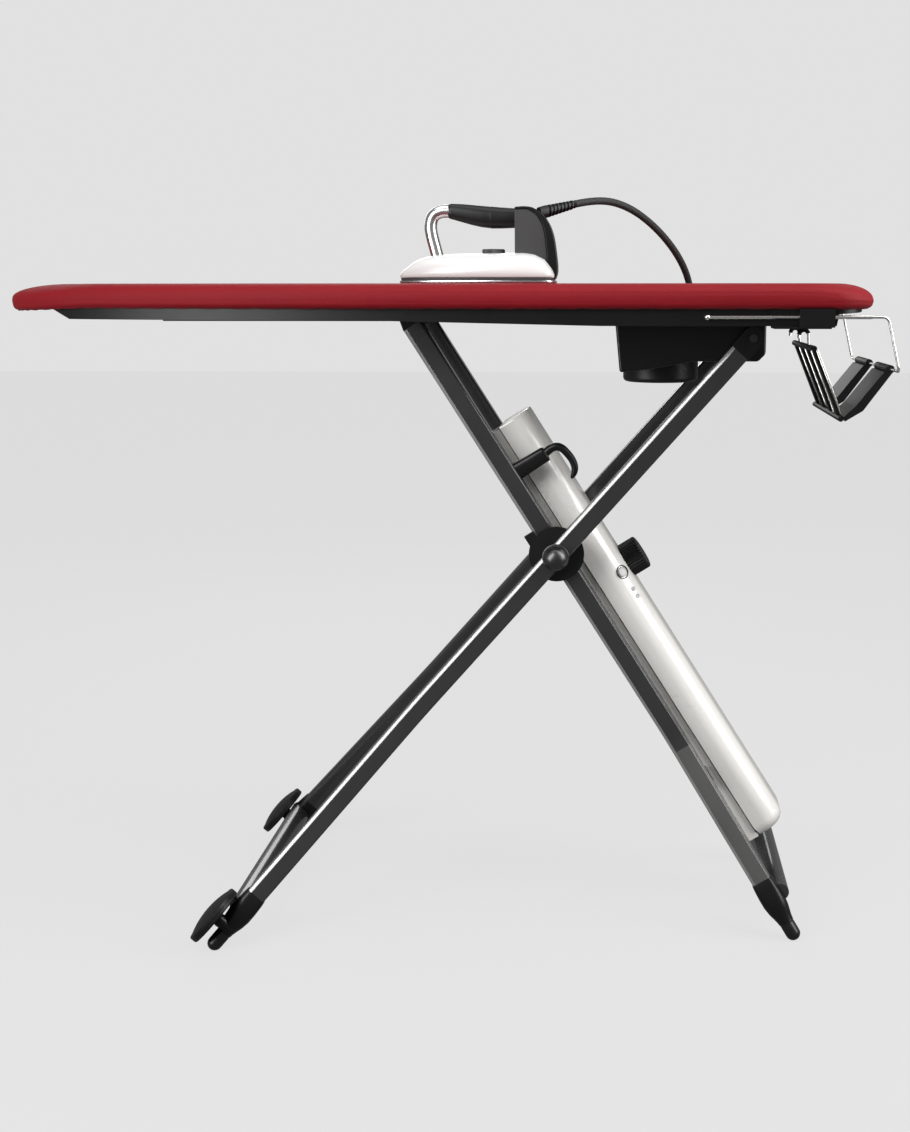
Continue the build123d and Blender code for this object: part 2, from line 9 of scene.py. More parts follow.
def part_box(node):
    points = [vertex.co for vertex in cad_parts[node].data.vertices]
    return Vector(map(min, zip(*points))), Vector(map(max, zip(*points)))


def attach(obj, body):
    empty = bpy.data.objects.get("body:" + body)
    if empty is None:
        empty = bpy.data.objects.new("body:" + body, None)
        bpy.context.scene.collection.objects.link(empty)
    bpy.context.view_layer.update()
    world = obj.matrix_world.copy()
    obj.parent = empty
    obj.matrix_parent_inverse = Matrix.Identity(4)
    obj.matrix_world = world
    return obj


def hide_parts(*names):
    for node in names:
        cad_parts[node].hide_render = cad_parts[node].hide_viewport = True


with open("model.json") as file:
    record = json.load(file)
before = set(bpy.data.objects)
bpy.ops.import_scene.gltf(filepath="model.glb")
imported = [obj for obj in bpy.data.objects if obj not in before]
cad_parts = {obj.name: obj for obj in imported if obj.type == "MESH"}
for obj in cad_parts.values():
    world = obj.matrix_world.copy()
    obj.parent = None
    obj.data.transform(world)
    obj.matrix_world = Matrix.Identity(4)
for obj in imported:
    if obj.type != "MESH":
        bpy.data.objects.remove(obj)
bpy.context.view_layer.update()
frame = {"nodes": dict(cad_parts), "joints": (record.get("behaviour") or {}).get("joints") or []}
scene = bpy.context.scene
mm = 0.001

# ------------------------------------------------------------------ places, all from the frame
joints = {j["name"]: j for j in frame["joints"]}
hinge = Vector(joints["leg_fold"]["pos_m"])
pivot = Vector(joints["leg_scissor"]["pos_m"])
axle_low, axle_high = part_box("slider_axle")
slider = (axle_low + axle_high) / 2
cover_low, cover_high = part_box("board_cover")
across = Vector((0, 1, 0))


class Leg:
    """A leg's own frame: s runs down the leg from the pivot, y across, n out of its plane."""

    def __init__(self, down):
        self.down = down.normalized()
        self.out = self.down.cross(across)

    def at(self, s, y, n):
        return pivot + self.down * s + across * y + self.out * n


outer = Leg(pivot - hinge)
inner = Leg(Vector((pivot.x - slider.x, 0, pivot.z - slider.z)))
outer_arm = (pivot - hinge).length
inner_arm = (Vector((pivot.x, 0, pivot.z)) - Vector((slider.x, 0, slider.z))).length


# ------------------------------------------------------------------ materials
def shader(name, colour, rough, metallic=0.0):
    """A material with its node tree's nodes and links and its principled shader."""
    mat = bpy.data.materials.new(name)
    mat.use_nodes = True
    mat.diffuse_color = (*colour, 1)
    bsdf = mat.node_tree.nodes["Principled BSDF"]
    bsdf.inputs["Base Color"].default_value = (*colour, 1)
    bsdf.inputs["Roughness"].default_value = rough
    bsdf.inputs["Metallic"].default_value = metallic
    return mat, mat.node_tree.nodes, mat.node_tree.links, bsdf


def node(nodes, kind, **values):
    made = nodes.new(kind)
    for key, value in values.items():
        if key in made.inputs:
            made.inputs[key].default_value = value
        else:
            setattr(made, key, value)
    return made


def vary_colour(nodes, links, bsdf, colour, amount, scale):
    """Soft, large-scale unevenness of the base colour."""
    place = node(nodes, "ShaderNodeTexCoord")
    cloud = node(nodes, "ShaderNodeTexNoise", Scale=scale, Detail=6.0, Roughness=0.6)
    ramp = node(nodes, "ShaderNodeValToRGB")
    darker = [max(0.0, c * (1 - amount)) for c in colour]
    lighter = [min(1.0, c * (1 + amount)) for c in colour]
    ramp.color_ramp.elements[0].position = 0.3
    ramp.color_ramp.elements[1].position = 0.7
    ramp.color_ramp.elements[0].color = (*darker, 1)
    ramp.color_ramp.elements[1].color = (*lighter, 1)
    links.new(place.outputs["Object"], cloud.inputs["Vector"])
    links.new(cloud.outputs["Fac"], ramp.inputs["Fac"])
    links.new(ramp.outputs["Color"], bsdf.inputs["Base Color"])
    return place, cloud


def vary_rough(nodes, links, bsdf, source, low, high):
    """Roughness between low and high, following a signal."""
    spread = node(nodes, "ShaderNodeMapRange")
    spread.inputs["To Min"].default_value = low
    spread.inputs["To Max"].default_value = high
    links.new(source, spread.inputs["Value"])
    links.new(spread.outputs["Result"], bsdf.inputs["Roughness"])


def bump(nodes, links, bsdf, height, strength, distance):
    """Surface relief from a height signal; the distance is in metres."""
    bumped = node(nodes, "ShaderNodeBump", Strength=strength, Distance=distance)
    links.new(height, bumped.inputs["Height"])
    links.new(bumped.outputs["Normal"], bsdf.inputs["Normal"])


def plastic(name, colour, rough, grain=0.25, grain_scale=1400.0, coat=0.0, mottle=0.08, gloss=0.5):
    """Moulded plastic: fine spark-eroded grain and a slightly uneven gloss."""
    mat, nodes, links, bsdf = shader(name, colour, rough)
    place, cloud = vary_colour(nodes, links, bsdf, colour, mottle, 14.0)
    vary_rough(nodes, links, bsdf, cloud.outputs["Fac"], rough - 0.05, rough + 0.06)
    pits = node(nodes, "ShaderNodeTexNoise", Scale=grain_scale, Detail=2.0)
    links.new(place.outputs["Object"], pits.inputs["Vector"])
    bump(nodes, links, bsdf, pits.outputs["Fac"], grain, 0.0002)
    bsdf.inputs["Coat Weight"].default_value = coat
    bsdf.inputs["Coat Roughness"].default_value = 0.10
    bsdf.inputs["Specular IOR Level"].default_value = gloss
    return mat


def metal(name, colour, rough, brushed=0.0, stretch=(1, 1, 40), spots=0.03):
    """Bare or plated metal, with drawing marks along one direction."""
    mat, nodes, links, bsdf = shader(name, colour, rough, 1.0)
    place, _ = vary_colour(nodes, links, bsdf, colour, spots, 20.0)
    lines = node(nodes, "ShaderNodeTexNoise", Scale=700.0, Detail=3.0)
    mapping = node(nodes, "ShaderNodeMapping")
    mapping.inputs["Scale"].default_value = [1 / s for s in stretch]
    links.new(place.outputs["Object"], mapping.inputs["Vector"])
    links.new(mapping.outputs["Vector"], lines.inputs["Vector"])
    vary_rough(nodes, links, bsdf, lines.outputs["Fac"], max(0.03, rough - 0.06), rough + 0.08)
    if brushed:
        bump(nodes, links, bsdf, lines.outputs["Fac"], brushed, 0.0001)
    return mat


def anodised(name, colour, rough):
    """Dark anodised tube: metallic under a satin film, with faint wear and dust."""
    mat, nodes, links, bsdf = shader(name, colour, rough, 0.35)
    place, cloud = vary_colour(nodes, links, bsdf, colour, 0.1, 9.0)
    film = node(nodes, "ShaderNodeTexNoise", Scale=420.0, Detail=4.0)
    links.new(place.outputs["Object"], film.inputs["Vector"])
    vary_rough(nodes, links, bsdf, cloud.outputs["Fac"], rough - 0.05, rough + 0.07)
    bump(nodes, links, bsdf, film.outputs["Fac"], 0.02, 0.0001)
    bsdf.inputs["Coat Weight"].default_value = 0.7
    bsdf.inputs["Coat Roughness"].default_value = 0.14
    return mat


def woven(name, colour, period, rough=0.75, sheen=0.4, tint=(1, 1, 1), relief=0.5, mottle=0.07):
    """Plain weave: warp and weft as two sets of bands that pass over each other."""
    mat, nodes, links, bsdf = shader(name, colour, rough)
    place, _ = vary_colour(nodes, links, bsdf, colour, mottle, 6.0)
    bands = []
    for direction in ("X", "Y"):
        wave = node(nodes, "ShaderNodeTexWave", Scale=0.314 / period, Distortion=0.6)
        wave.inputs["Detail"].default_value = 1.0
        wave.bands_direction = direction
        links.new(place.outputs["Object"], wave.inputs["Vector"])
        bands.append(wave)
    weave = node(nodes, "ShaderNodeMath", operation="MULTIPLY")
    links.new(bands[0].outputs["Fac"], weave.inputs[0])
    links.new(bands[1].outputs["Fac"], weave.inputs[1])
    slub = node(nodes, "ShaderNodeTexNoise", Scale=260.0, Detail=4.0)
    links.new(place.outputs["Object"], slub.inputs["Vector"])
    total = node(nodes, "ShaderNodeMath", operation="ADD")
    links.new(weave.outputs[0], total.inputs[0])
    links.new(slub.outputs["Fac"], total.inputs[1])
    bump(nodes, links, bsdf, total.outputs[0], relief, 0.0004)
    bsdf.inputs["Sheen Weight"].default_value = sheen
    bsdf.inputs["Sheen Roughness"].default_value = 0.35
    bsdf.inputs["Sheen Tint"].default_value = (*tint, 1)
    bsdf.inputs["Specular IOR Level"].default_value = 0.16
    return mat


def felted(name, colour):
    """Matted fibres with no direction."""
    mat, nodes, links, bsdf = shader(name, colour, 0.95)
    place, _ = vary_colour(nodes, links, bsdf, colour, 0.15, 60.0)
    fibres = node(nodes, "ShaderNodeTexNoise", Scale=900.0, Detail=8.0, Distortion=1.5)
    links.new(place.outputs["Object"], fibres.inputs["Vector"])
    bump(nodes, links, bsdf, fibres.outputs["Fac"], 0.8, 0.0008)
    return mat


def braided(name, colour):
    """Hose sleeve: two crossing sets of fine diagonal strands."""
    mat, nodes, links, bsdf = shader(name, colour, 0.6)
    place, _ = vary_colour(nodes, links, bsdf, colour, 0.25, 300.0)
    strands = []
    for turn in (0.8, -0.8):
        mapping = node(nodes, "ShaderNodeMapping")
        mapping.inputs["Rotation"].default_value = (turn, turn, turn)
        wave = node(nodes, "ShaderNodeTexWave", Scale=260.0, Distortion=0.3)
        links.new(place.outputs["Object"], mapping.inputs["Vector"])
        links.new(mapping.outputs["Vector"], wave.inputs["Vector"])
        strands.append(wave)
    cross = node(nodes, "ShaderNodeMath", operation="MAXIMUM")
    links.new(strands[0].outputs["Fac"], cross.inputs[0])
    links.new(strands[1].outputs["Fac"], cross.inputs[1])
    bump(nodes, links, bsdf, cross.outputs[0], 0.5, 0.0004)
    return mat


def clear(name, colour):
    """Tinted see-through plastic for the lamps."""
    mat, nodes, links, bsdf = shader(name, colour, 0.08)
    vary_colour(nodes, links, bsdf, colour, 0.05, 200.0)
    bsdf.inputs["Transmission Weight"].default_value = 0.6
    return mat


RED = woven("cover_cotton", (0.172, 0.0028, 0.0070), 0.0009, 0.6, 0.06, (1.0, 0.55, 0.55), 0.4, 0.05)
RED_EDGE = woven("cover_binding", (0.13, 0.004, 0.008), 0.0006, 0.7, 0.06, (1.0, 0.5, 0.5))
FELT = felted("felt", (0.62, 0.60, 0.55))
BLACK = plastic("black_plastic", (0.0055, 0.0055, 0.006), 0.30, grain=0.12, gloss=0.28)
SOFT_BLACK = plastic("soft_black_plastic", (0.0065, 0.0065, 0.007), 0.40, grain=0.2, gloss=0.26)
GLOSS_BLACK = plastic("gloss_black_plastic", (0.005, 0.005, 0.005), 0.33, grain=0.03, gloss=1.0)
TRAY = plastic("powder_coat", (0.005, 0.005, 0.0055), 0.36, grain=0.2, grain_scale=700.0, gloss=0.22)
ANODISED = anodised("dark_anodised", (0.034, 0.034, 0.035), 0.26)
# a much lighter copy of the dark anodised finish for the tubes' light-facing facet: a painted highlight
PAINTED_HIGHLIGHT = anodised("painted_highlight_facet", (0.27, 0.27, 0.265), 0.24)
# a lighter copy of the dark anodised finish for the inner legs' lower stretch: painted light where the bend
# turns it towards the lamps
PAINTED_LIGHT_ANODISED = anodised("painted_light_anodised", (0.100, 0.099, 0.097), 0.26)
RUBBER = plastic("rubber", (0.006, 0.006, 0.0065), 0.34, grain=0.2, grain_scale=500.0, coat=0.1, gloss=0.35)
WHITE = plastic("warm_white_gloss", (0.70, 0.685, 0.655), 0.28, grain=0.015, coat=0.6, mottle=0.01, gloss=1.0)
IRON_WHITE = plastic("white_gloss", (0.60, 0.596, 0.588), 0.26, grain=0.01, coat=0.1, mottle=0.006)
GREY = plastic("grey_plastic", (0.33, 0.33, 0.335), 0.4, grain=0.2)
SLATE = plastic("slate_plastic", (0.040, 0.040, 0.041), 0.42, grain=0.2, gloss=0.3)
PALE_GREY = plastic("pale_grey_plastic", (0.46, 0.455, 0.445), 0.34, grain=0.15, mottle=0.03)
CHROME = metal("chrome", (0.66, 0.66, 0.655), 0.24)
WIRE = metal("plated_wire", (0.84, 0.83, 0.80), 0.24)
STEEL = metal("drawn_steel", (0.50, 0.50, 0.51), 0.32, 0.2)
DARK_STEEL = metal("blackened_steel", (0.07, 0.07, 0.075), 0.35, 0.1)
ALLOY = metal("sole_alloy", (0.60, 0.60, 0.61), 0.26, 0.15, (40, 1, 1))
MESH_PAINT = plastic("grey_paint", (0.34, 0.35, 0.36), 0.5)
SILICONE = plastic("silicone_coat", (0.006, 0.006, 0.0065), 0.45, grain=0.2, grain_scale=600.0, gloss=0.15)
SLEEVE = braided("hose_sleeve", (0.007, 0.007, 0.0075))
LENS = clear("lamp_lens", (0.30, 0.32, 0.29))

cad_materials = {
    "tray_shell": TRAY, "perforated_top": MESH_PAINT, "slide_rails": TRAY,
    "fan_bowl": SOFT_BLACK, "fan_motor": STEEL, "fan_impeller": GREY, "hinge_bolts": DARK_STEEL,
    "rest_holders": BLACK, "hose_socket": BLACK, "outer_top_ends": BLACK, "inner_top_ends": BLACK,
    "outer_foot_bar": ANODISED, "inner_foot_bar": ANODISED, "pivot_pins": STEEL,
    "hub_discs": SOFT_BLACK, "ratchet_discs": SOFT_BLACK, "slider_axle": STEEL,
    "slide_rollers": GREY, "generator_brackets": BLACK, "generator_lower_shell": WHITE,
    "boiler_tank": STEEL, "heating_element": ALLOY, "filler_neck": WHITE, "cap_seal": SILICONE,
    "lamp_windows": LENS, "mains_inlet": BLACK, "power_button": PALE_GREY, "rest_wire": WIRE,
    "rest_plates": SILICONE, "rest_rack": SILICONE, "rest_hooks": WIRE,
}
for name, mat in cad_materials.items():
    mesh = frame["nodes"][name].data
    for i in range(max(1, len(mesh.materials))):
        if i < len(mesh.materials):
            mesh.materials[i] = mat
        else:
            mesh.materials.append(mat)


# ------------------------------------------------------------------ mesh tools
def piece(name, verts, faces, body, *mats, sharp=35, stands_for=(), slot=None, which=None):
    """A mesh object in the row frame that rides on a body and may stand for CAD nodes."""
    mesh = bpy.data.meshes.new(name)
    mesh.from_pydata([tuple(v) for v in verts], [], faces)
    for mat in mats:
        mesh.materials.append(mat)
    if which:
        for i, index in enumerate(which):
            mesh.polygons[i].material_index = index
    shell = bmesh.new()
    shell.from_mesh(mesh)
    bmesh.ops.remove_doubles(shell, verts=shell.verts, dist=1e-6)
    bmesh.ops.recalc_face_normals(shell, faces=shell.faces)
    for face in shell.faces:
        face.smooth = True
    shell.to_mesh(mesh)
    shell.free()
    mesh.set_sharp_from_angle(angle=radians(sharp))
    obj = bpy.data.objects.new(name, mesh)
    scene.collection.objects.link(obj)
    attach(obj, body)
    if stands_for:
        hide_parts(*stands_for)
    return obj


def bevel(obj, width, segments=3, angle=30):
    made = obj.modifiers.new("edges", "BEVEL")
    made.width = width
    made.segments = segments
    made.limit_method = "ANGLE"
    made.angle_limit = radians(angle)
    made.harden_normals = True
    return obj


def subdivide(obj, levels=2):
    made = obj.modifiers.new("smooth", "SUBSURF")
    made.levels = levels
    made.render_levels = levels
    return obj


def loft_data(rings, closed_ends=True):
    """Vertices and faces of a skin through rings with equal point counts."""
    count = len(rings[0])
    verts = [p for ring in rings for p in ring]
    faces = []
    for k in range(len(rings) - 1):
        for i in range(count):
            j = (i + 1) % count
            faces.append((k * count + i, k * count + j, (k + 1) * count + j, (k + 1) * count + i))
    if closed_ends:
        faces.append(tuple(range(count)))
        faces.append(tuple(reversed(range((len(rings) - 1) * count, len(rings) * count))))
    return verts, faces


def loft(name, rings, body, *mats, **options):
    verts, faces = loft_data(rings)
    return piece(name, verts, faces, body, *mats, **options)


def joined(parts):
    """Several (verts, faces) sets as one."""
    verts, faces = [], []
    for part_verts, part_faces in parts:
        base = len(verts)
        verts += list(part_verts)
        faces += [tuple(i + base for i in face) for face in part_faces]
    return verts, faces


def between(stops, x):
    """The value at x on straight lines through (x, value) stops, held level outside them."""
    for (xa, va), (xb, vb) in zip(stops, stops[1:]):
        if x <= xb:
            t = max(0.0, (x - xa) / (xb - xa))
            return va + (vb - va) * t
    return stops[-1][1]


def bezier(t, *stops):
    """A point on the cubic curve with four (x, y) stops."""
    weights = ((1 - t) ** 3, 3 * t * (1 - t) ** 2, 3 * t * t * (1 - t), t ** 3)
    return tuple(sum(w * stop[i] for w, stop in zip(weights, stops)) for i in (0, 1))


def signed_power(value, power):
    return abs(value) ** power * (1 if value >= 0 else -1)


def superellipse(half_a, half_b, power, count=40):
    """An oval as (a, b) pairs; the power squares it up."""
    points = []
    for i in range(count):
        angle = 2 * pi * i / count
        points.append((half_a * signed_power(cos(angle), 2 / power),
                       half_b * signed_power(sin(angle), 2 / power)))
    return points


def lathe_data(profile, origin, axis, side, segments=64, flutes=0, depth=0.0, hollow=False):
    """A turned solid from (distance along the axis, radius) pairs, perhaps fluted or a ring."""
    axis, side = axis.normalized(), side.normalized()
    other = axis.cross(side)
    rings = []
    for along, radius, *fluted in profile:
        ring = []
        for i in range(segments):
            angle = 2 * pi * i / segments
            r = radius - (depth * (0.5 - 0.5 * cos(flutes * angle)) if fluted and fluted[0] else 0)
            ring.append(origin + axis * along + (side * cos(angle) + other * sin(angle)) * r)
        rings.append(ring)
    if hollow:
        return loft_data(rings + rings[:1], closed_ends=False)
    return loft_data(rings)


def lathe(name, profile, origin, axis, side, body, *mats, segments=64, flutes=0, depth=0.0,
          hollow=False, **options):
    verts, faces = lathe_data(profile, origin, axis, side, segments, flutes, depth, hollow)
    return piece(name, verts, faces, body, *mats, **options)


def swept_data(points, radii, sides=16, section=None):
    """A tube along points; radii are one per point, or pairs for a flattened bar."""
    rings = []
    reference = None
    for i, here in enumerate(points):
        ahead = (points[min(i + 1, len(points) - 1)] - points[max(i - 1, 0)]).normalized()
        if reference is None:
            reference = ahead.orthogonal().normalized() if section is None else section
        normal = (reference - ahead * reference.dot(ahead)).normalized()
        reference = normal
        other = ahead.cross(normal)
        a, b = radii[i] if isinstance(radii[i], tuple) else (radii[i], radii[i])
        rings.append([here + normal * a * cos(2 * pi * k / sides) + other * b * sin(2 * pi * k / sides)
                      for k in range(sides)])
    return loft_data(rings)


def smooth_line(points, steps=6):
    """A curve through the points (Catmull-Rom)."""
    line = []
    ends = [points[0] * 2 - points[1]] + list(points) + [points[-1] * 2 - points[-2]]
    for a, b, c, d in zip(ends, ends[1:], ends[2:], ends[3:]):
        for k in range(steps):
            t = k / steps
            line.append(0.5 * ((2 * b) + (c - a) * t + (2 * a - 5 * b + 4 * c - d) * t * t
                               + (3 * b - a - 3 * c + d) * t * t * t))
    line.append(points[-1])
    return line


def prism_data(outline, y0, y1):
    """A prism along Y from an outline of (x, z) pairs."""
    rings = [[Vector((x, y, z)) for x, z in outline] for y in (y0, y1)]
    return loft_data(rings)


def box_data(low, high):
    x0, y0, z0 = low
    x1, y1, z1 = high
    return prism_data([(x0, z0), (x1, z0), (x1, z1), (x0, z1)], y0, y1)


# ------------------------------------------------------------------ camera and light
def look_from_photo():
    """A view from the near side, a little right of the pivot: at board height, turned slightly down."""
    camera = bpy.data.objects.new("camera", bpy.data.cameras.new("camera"))
    camera.data.lens = 45
    camera.data.sensor_width = 36
    camera.data.shift_x = -0.10
    camera.location = (0.2535, -2.03, 0.907)
    camera.rotation_euler = (radians(90 - 11.037), 0, radians(2.137))
    scene.collection.objects.link(camera)
    scene.camera = camera


def softbox(name, location, target, size, power, along=None):
    """A rectangular area light; its long side lies along a direction where one is given."""
    light = bpy.data.lights.new(name, "AREA")
    light.shape = "RECTANGLE"
    light.size, light.size_y = size
    light.energy = power
    lamp = bpy.data.objects.new(name, light)
    aim = (Vector(target) - Vector(location)).normalized()
    side = Vector(along) if along is not None else aim.cross(Vector((0, 0, 1)))
    side = (side - aim * side.dot(aim)).normalized()
    up = -aim.cross(side)
    lamp.matrix_world = Matrix.Translation(location) @ Matrix((side, up, -aim)).transposed().to_4x4()
    lamp.visible_camera = False
    scene.collection.objects.link(lamp)


def two_tone(nodes, links, seen, cast):
    """A brightness that the camera sees as one value and that lights the object as another."""
    path = node(nodes, "ShaderNodeLightPath")
    mix = node(nodes, "ShaderNodeMapRange")
    mix.inputs["To Min"].default_value = cast
    mix.inputs["To Max"].default_value = seen
    links.new(path.outputs["Is Camera Ray"], mix.inputs["Value"])
    return mix.outputs["Result"]


def make_studio():
    """A pale seamless room: grey to the eye, dim where the object's gloss looks at it."""
    world = bpy.data.worlds.new("studio")
    scene.world = world
    world.use_nodes = True
    nodes, links = world.node_tree.nodes, world.node_tree.links
    sky = nodes["Background"]
    sky.inputs["Color"].default_value = (1, 1, 1, 1)
    sky_seen, sky_cast, floor_seen, floor_cast = 0.753, 0.23, 0.708, 0.13
    links.new(two_tone(nodes, links, sky_seen, sky_cast), sky.inputs["Strength"])
    size = 14
    mesh = bpy.data.meshes.new("floor")
    corners = [(-size, -size, 0), (size, -size, 0), (size, size, 0), (-size, size, 0)]
    mesh.from_pydata(corners, [], [(0, 1, 2, 3)])
    floor_mat, nodes, links, bsdf = shader("floor_paper", (0.045, 0.045, 0.045), 1.0)
    bsdf.inputs["Specular IOR Level"].default_value = 0.0
    bsdf.inputs["Emission Color"].default_value = (1, 1, 1, 1)
    links.new(two_tone(nodes, links, floor_seen, floor_cast), bsdf.inputs["Emission Strength"])
    mesh.materials.append(floor_mat)
    floor = bpy.data.objects.new("floor", mesh)
    scene.collection.objects.link(floor)
    middle = pivot + Vector((0, -0.1, 0))
    left = Vector((-0.62, -0.70, 0.33)).normalized()
    right = Vector((0.82, -0.24, 0.517)).normalized()
    softbox("key", middle + left * 2.1, middle, (2.6, 0.85), 56, outer.down)
    softbox("rim", middle + right * 2.0, middle, (2.6, 1.1), 62, inner.down)
    softbox("top", (0.0, -0.3, 3.0), (0, 0, 0.9), (2.2, 1.4), 26)
    softbox("back", (-0.6, 2.4, 1.7), (0, 0, 0.6), (1.6, 1.2), 20)
    scene.view_settings.view_transform = "Standard"


# ------------------------------------------------------------------ steam hose
route = [(186.4, 28.24, 1026.11), (220, 48.7, 1034.6), (262, 84, 1026), (301, 124, 1000),
         (334, 164, 965), (355, 199, 928), (362, 221, 892), (356, 217, 858), (335, 200, 840),
         (300, 185, 841), (265, 178, 863)]
hose_diameter = 0.0105


def hank_points():
    """Flat turns under the tray, each one diameter above the last."""
    low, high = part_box("hose_hank")
    radius = (high.y - low.y) / 2 - hose_diameter / 2
    middle_y = (high.y + low.y) / 2
    left, right = low.x + radius + hose_diameter / 2, high.x - radius - hose_diameter / 2
    turns, bend_points = 3, 5
    stretch = radius / cos(pi / 10)     # control points lie outside the arc that they draw
    points = []
    for turn in range(turns):
        z = low.z + hose_diameter * (turn + 0.5)
        arc = [pi / 2 + pi * (k + 0.5) / bend_points for k in range(bend_points)]
        points += [(left + stretch * cos(a), middle_y + stretch * sin(a), z) for a in arc]
        points += [(left + (right - left) * f, middle_y - radius, z) for f in (0.3, 0.5, 0.7)]
        if turn == turns - 1:
            break
        points += [(right - stretch * cos(a), middle_y - stretch * sin(a), z) for a in arc]
        rise = hose_diameter * 0.5
        points += [(right - (right - left) * 0.25, middle_y + radius, z),
                   (right - (right - left) * 0.5, middle_y + radius, z + rise),
                   (right - (right - left) * 0.75, middle_y + radius, z + 2 * rise)]
    return points


def make_hose():
    """The steam hose from the iron into the tray, with its put-away turns, as one cord."""
    points = [tuple(v * mm for v in p) for p in route] + hank_points()
    curve = bpy.data.curves.new("steam_hose", "CURVE")
    curve.dimensions = "3D"
    spline = curve.splines.new("NURBS")
    spline.points.add(len(points) - 1)
    for point, place in zip(spline.points, points):
        point.co = (*place, 1)
    spline.order_u = 3
    spline.use_endpoint_u = True
    spline.resolution_u = 8
    curve.bevel_depth = hose_diameter / 2
    curve.bevel_resolution = 5
    curve.use_fill_caps = True
    curve.materials.append(SLEEVE)
    hose = bpy.data.objects.new("steam_hose_line", curve)
    scene.collection.objects.link(hose)
    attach(hose, "board")
    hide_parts("steam_hose", "hose_hank")


# ------------------------------------------------------------------ board cover
nose_length, heel_length = 0.17, 0.09
nose_sag = 0.0045
pucker_turn = 2.1            # radians of the gathering wave per point of the outline


def outline(inset):
    """The board's outline, drawn in by inset, as evenly parametrised points."""
    half = (cover_high.y - cover_low.y) / 2 - inset
    nose, heel = cover_low.x + inset, cover_high.x - inset
    taper = -0.010
    corner = 0.055 - inset
    upper = [bezier(k / 60, (nose, 0), (nose, half * 0.42), (taper - 0.330, half), (taper, half))
             for k in range(60)]
    for k in range(40):
        upper.append((taper + (heel - corner - taper) * k / 40, half))
    for k in range(12):
        angle = pi / 2 - pi / 2 * k / 12
        upper.append((heel - corner + corner * cos(angle), half - corner + corner * sin(angle)))
    for k in range(9):
        upper.append((heel, (half - corner) * (1 - k / 8)))
    lower = [(x, -y) for x, y in reversed(upper[1:-1])]
    return upper + lower


def smooth(t):
    """An S-shaped step from 0 to 1."""
    t = min(1.0, max(0.0, t))
    return t * t * (3 - 2 * t)


def wander(x, y, scale, seed):
    """A slow, repeatable unevenness between about -1 and 1."""
    return noise.noise(Vector((x * scale, y * scale, seed)))


def pad_stations(skin):
    """Places round the padded top's outline, skin metres inside the cover, with their edge shape."""
    spine_a, spine_b = cover_low.x + 0.20, cover_high.x - 0.20
    stations = []
    for x, y in outline(0.0):
        nose_part = smooth((cover_low.x + nose_length - x) / nose_length)
        heel_part = smooth((x - cover_high.x + heel_length) / heel_length)
        inward = Vector((min(max(x, spine_a), spine_b), 0, 0)) - Vector((x, y, 0))
        reach = inward.length - skin
        inward.normalize()
        stations.append(SimpleNamespace(
            place=Vector((x, y, 0)) + inward * skin, inward=inward, reach=reach,
            wide=0.024 + 0.062 * nose_part + 0.030 * heel_part,
            deep=0.0125 + 0.0065 * nose_part + 0.0080 * heel_part, sag=nose_sag * nose_part))
    return stations


def pad_rings(skin, puckers):
    """Rings of the padded top: flat in the middle, crowned over its edge, tucked in below."""
    stations = pad_stations(skin)
    top, low = cover_high.z - skin, cover_low.z
    rings = []
    for fraction in (0.0, 0.18, 0.36, 0.54, 0.70, 0.84, 0.94):
        ring = []
        for at in stations:
            flat = at.place + at.inward * (at.reach - (at.reach - at.wide) * fraction)
            ring.append(Vector((flat.x, flat.y, top - 0.0006 + 0.0005 * wander(flat.x, flat.y, 9, 3.1))))
        rings.append(ring)
    for k in range(10):
        angle = pi / 2 * k / 9
        ring = []
        for at in stations:
            here = at.place + at.inward * at.wide * (1 - sin(angle))
            ring.append(Vector((here.x, here.y, top - 0.0004 - at.deep * (1 - cos(angle)))))
        rings.append(ring)
    roll = 0.0075
    for k in range(1, 6):
        t = k / 6
        ring = []
        for at in stations:
            z = (top - at.deep) * (1 - t) + (low + roll - at.sag) * t
            swell = 0.0007 * sin(pi * t) + 0.0005 * t * wander(at.place.x, at.place.y, 22, 7.7)
            ring.append(Vector((at.place.x, at.place.y, z)) - at.inward * swell)
        rings.append(ring)
    for k in range(7):
        angle = pi / 2 * k / 6
        ring = []
        for i, at in enumerate(stations):
            here = at.place + at.inward * roll * (1 - cos(angle))
            wave = sin(i * pucker_turn + 2.5 * wander(at.place.x, at.place.y, 14, 5.5))
            pucker = puckers * wave * (k / 6)
            ring.append(Vector((here.x, here.y, low - at.sag + roll * (1 - sin(angle)) + pucker)))
        rings.append(ring)
    return rings, stations


def make_cover():
    """Stretched cotton cover: crowned over the pad's edge and gathered in below."""
    rings, stations = pad_rings(0.0, 0.0005)
    hem_inset = 0.0118
    hem = []
    for i, at in enumerate(stations):
        here = at.place + at.inward * hem_inset
        hem.append(Vector((here.x, here.y, cover_low.z + 0.0006 + 0.0005 * sin(i * pucker_turn))))
    rings.append(hem)
    cover = piece("cotton_cover", *loft_data(rings, closed_ends=False), "board", RED, sharp=180,
                  stands_for=["board_cover"], slot="cover")
    subdivide(cover, 1)


def make_felt():
    """The felt under the cover, crowned like it, with a flat bottom."""
    rings, _ = pad_rings(0.0035, 0.0)
    crown = rings[:17]
    floor = cover_high.z - 0.0144
    last = [Vector((v.x, v.y, min(v.z, floor))) for v in crown[-1]]
    crown = [[Vector((v.x, v.y, max(v.z, floor))) for v in ring] for ring in crown]
    verts, faces = loft_data(crown + [last], closed_ends=False)
    faces.append(tuple(range(len(verts) - len(last), len(verts))))
    felt = piece("felt_padding", verts, faces, "board", FELT, sharp=60, stands_for=["felt_pad"],
                 slot="felt")


